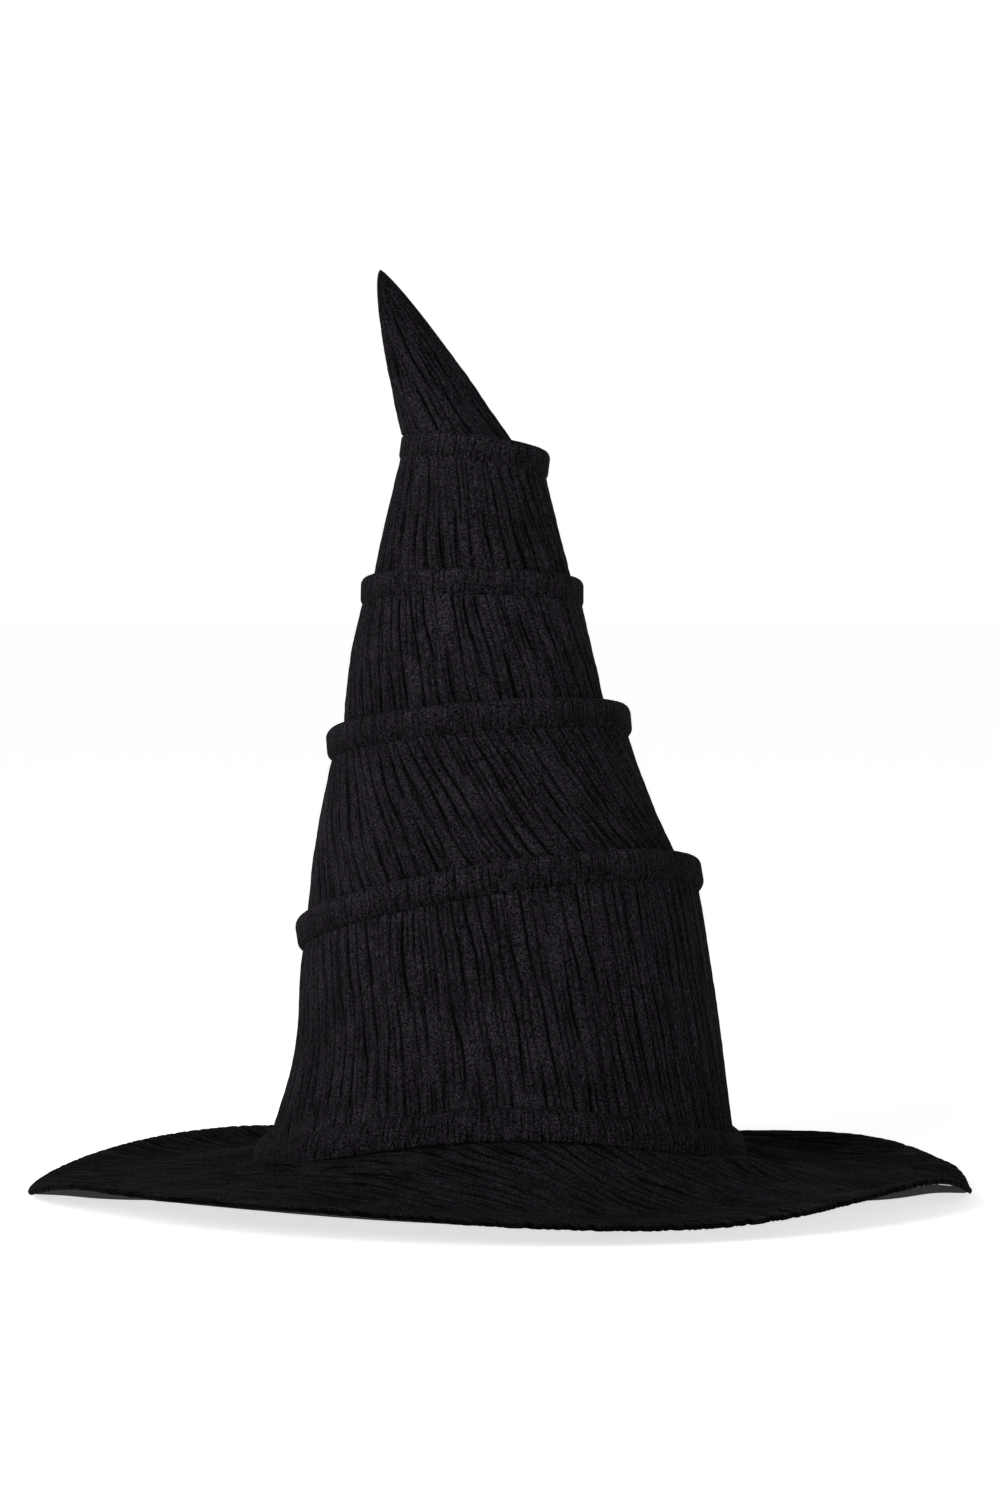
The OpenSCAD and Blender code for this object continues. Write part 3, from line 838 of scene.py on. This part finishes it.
def lining():
    """Satin lining: gores that gather lightly into a flat round top."""
    levels, radii = dome_profile()
    n, m, gores = 640, 60, 4
    angle = np.arange(n) / n * TURN
    z = levels[0] + (levels[-1] - levels[0]) * np.sin(np.linspace(0, 1, m) * math.pi / 2)
    z[0] = levels[0] - 2.5 * MM
    r = np.interp(z, levels, radii)
    t = (z - z[0]) / (z[-1] - z[0])
    uu, vv = angle[:, None] + 0 * t, t[None] + 0 * angle[:, None]
    seam = np.abs(np.sin(uu * gores / 2))
    fold = noise(uu / TURN * 54, vv * 2.2, 90, 54) * (0.25 + 1.6 * vv ** 2)
    rr = r[None] - 0.5 * MM + 0.55 * MM * fold - 0.8 * MM * np.exp(-seam * 45)
    grid = np.stack([HOLE["at"][0] + rr * np.cos(uu), rr * np.sin(uu), z[None] + 0 * uu], -1)
    side = cloth_mesh("lining_side_cloth", grid, uu * float(radii[0]), vv * 0.09)
    thicken(side, 0.35 * MM)
    dress(side, "lining_cloth", "lining_side")
    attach(side, "base")
    rings = np.linspace(1, 0.02, 24)
    top_r = float(radii[-1]) - 0.4 * MM
    rt, at = np.meshgrid(rings * top_r, angle)
    sag = -LINING_SAG * (1 - (rt / top_r) ** 2)
    pucker = 0.4 * MM * noise(at / TURN * 54, rt / (8 * MM), 91, 54) * (rt / top_r) ** 3
    top_z = levels[-1] + 0.2 * MM
    disc = np.stack([HOLE["at"][0] + rt * np.cos(at), rt * np.sin(at), top_z + sag + pucker], -1)
    middle = (HOLE["at"][0], 0.0, top_z - LINING_SAG)
    top = cloth_mesh("lining_top_cloth", disc, at * 0.03, rt, cap=middle)
    dress(top, "lining_cloth", "lining_top")
    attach(top, "base")


def size_label():
    """A blank woven label with a slight curl along it."""
    low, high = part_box("size_label")
    levels, radii = dome_profile()
    n, m = 48, 24
    half = math.asin((high.x - low.x) / 2 / float(radii[0]))
    angle = math.pi / 2 + np.linspace(-half, half, n)
    z = np.linspace(low.z, high.z, m)
    r = np.interp(z, levels, radii) - 1.9 * MM
    curl = 0.25 * MM * np.sin(np.linspace(0, 3 * math.pi, n))[:, None] * np.linspace(0, 1, m)[None]
    rr = r[None] + curl
    grid = np.stack([HOLE["at"][0] + rr * np.cos(angle)[:, None], rr * np.sin(angle)[:, None],
                     z[None] + 0 * rr], -1)
    piece = cloth_mesh("size_label_tape", grid, angle[:, None] * 0.08, z[None], closed=False)
    thicken(piece, 0.4 * MM)
    dress(piece, "label_cloth", "size_label")
    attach(piece, "base")


# ---- studio ----------------------------------------------------------------

def area_light(name, place, aim, size, power):
    data = bpy.data.lights.new(name, "AREA")
    data.shape = "RECTANGLE"
    data.size, data.size_y = size
    data.energy = power
    light = bpy.data.objects.new(name, data)
    light.location = place
    light.rotation_euler = (Vector(aim) - Vector(place)).to_track_quat("-Z", "Y").to_euler()
    bpy.context.scene.collection.objects.link(light)


def studio():
    """A glowing white floor, the surround, a soft key from the front left and a weak fill opposite it."""
    mesh = bpy.data.meshes.new("floor")
    far = 30.0
    mesh.from_pydata([(-far, -far, 0), (far, -far, 0), (far, far, 0), (-far, far, 0)], [], [(0, 1, 2, 3)])
    floor = bpy.data.objects.new("floor", mesh)
    floor.location.z = CAD_BOX[0][2] - 0.3 * MM
    bpy.context.scene.collection.objects.link(floor)
    n = Nodes("pale_floor")
    mesh.materials.append(n.finish((0.9, 0.9, 0.9, 1.0), 0.9, Emission_Color=(1.0, 1.0, 1.0, 1.0),
                                    Emission_Strength=0.7))
    surround()
    area_light("key", (-1.3, -2.15, 0.95), (0, 0, 0.16), (1.0, 0.8), 54.0)
    area_light("fill", (1.9, -1.6, 0.9), (0, 0, 0.15), (1.2, 1.2), 5.0)


def surround():
    """White near the horizon and much dimmer overhead, like a studio cove under a dark ceiling."""
    world = bpy.data.worlds.new("surround")
    bpy.context.scene.world = world
    world.use_nodes = True
    tree = world.node_tree
    place = tree.nodes.new("ShaderNodeTexCoord")
    split = tree.nodes.new("ShaderNodeSeparateXYZ")
    fade = tree.nodes.new("ShaderNodeMapRange")
    fade.interpolation_type = "SMOOTHSTEP"
    for socket, value in (("From Min", 0.16), ("From Max", 0.5), ("To Min", 1.0), ("To Max", 0.2)):
        fade.inputs[socket].default_value = value
    tree.links.new(place.outputs["Generated"], split.inputs[0])
    tree.links.new(split.outputs["Z"], fade.inputs["Value"])
    tree.links.new(fade.outputs[0], tree.nodes["Background"].inputs["Strength"])
    tree.nodes["Background"].inputs["Color"].default_value = (1.0, 1.0, 1.0, 1.0)


def camera():
    data = bpy.data.cameras.new("camera")
    data.sensor_fit = "VERTICAL"
    data.sensor_height = SENSOR_H
    data.lens = CAMERA_LENS
    data.clip_end = 100.0
    view = bpy.data.objects.new("camera", data)
    view.location = CAMERA_PLACE
    aim = Vector(CAMERA_AIM) - Vector(CAMERA_PLACE)
    view.rotation_euler = aim.to_track_quat("-Z", "Y").to_euler()
    bpy.context.scene.collection.objects.link(view)
    bpy.context.scene.camera = view


def hidden_parts():
    """CAD nodes that keep their own shape get their finish."""
    slots = {s["node"]: s["material_slot"] for s in frame["record"]["subparts"]}
    kept = ["brim_wire", "brim_wire_ferrule", "base_welt_filler"]
    kept += [f"{part}_{k}" for part in ("hoop", "hoop_clip") for k in (1, 2, 3, 4)]
    for node in kept:
        data = NODES[node].data
        data.materials.clear()
        data.materials.append(MATERIALS[slots[node]])


camera()
studio()
bpy.context.scene.view_settings.view_transform = "Standard"
hidden_parts()
brim_top()
brim_stiffener()
brim_facing()
base_welt()
for index in range(5):
    tier(index)
for index in range(4):
    welt(index)
tip_wadding()
sweatband()
lining()
size_label()
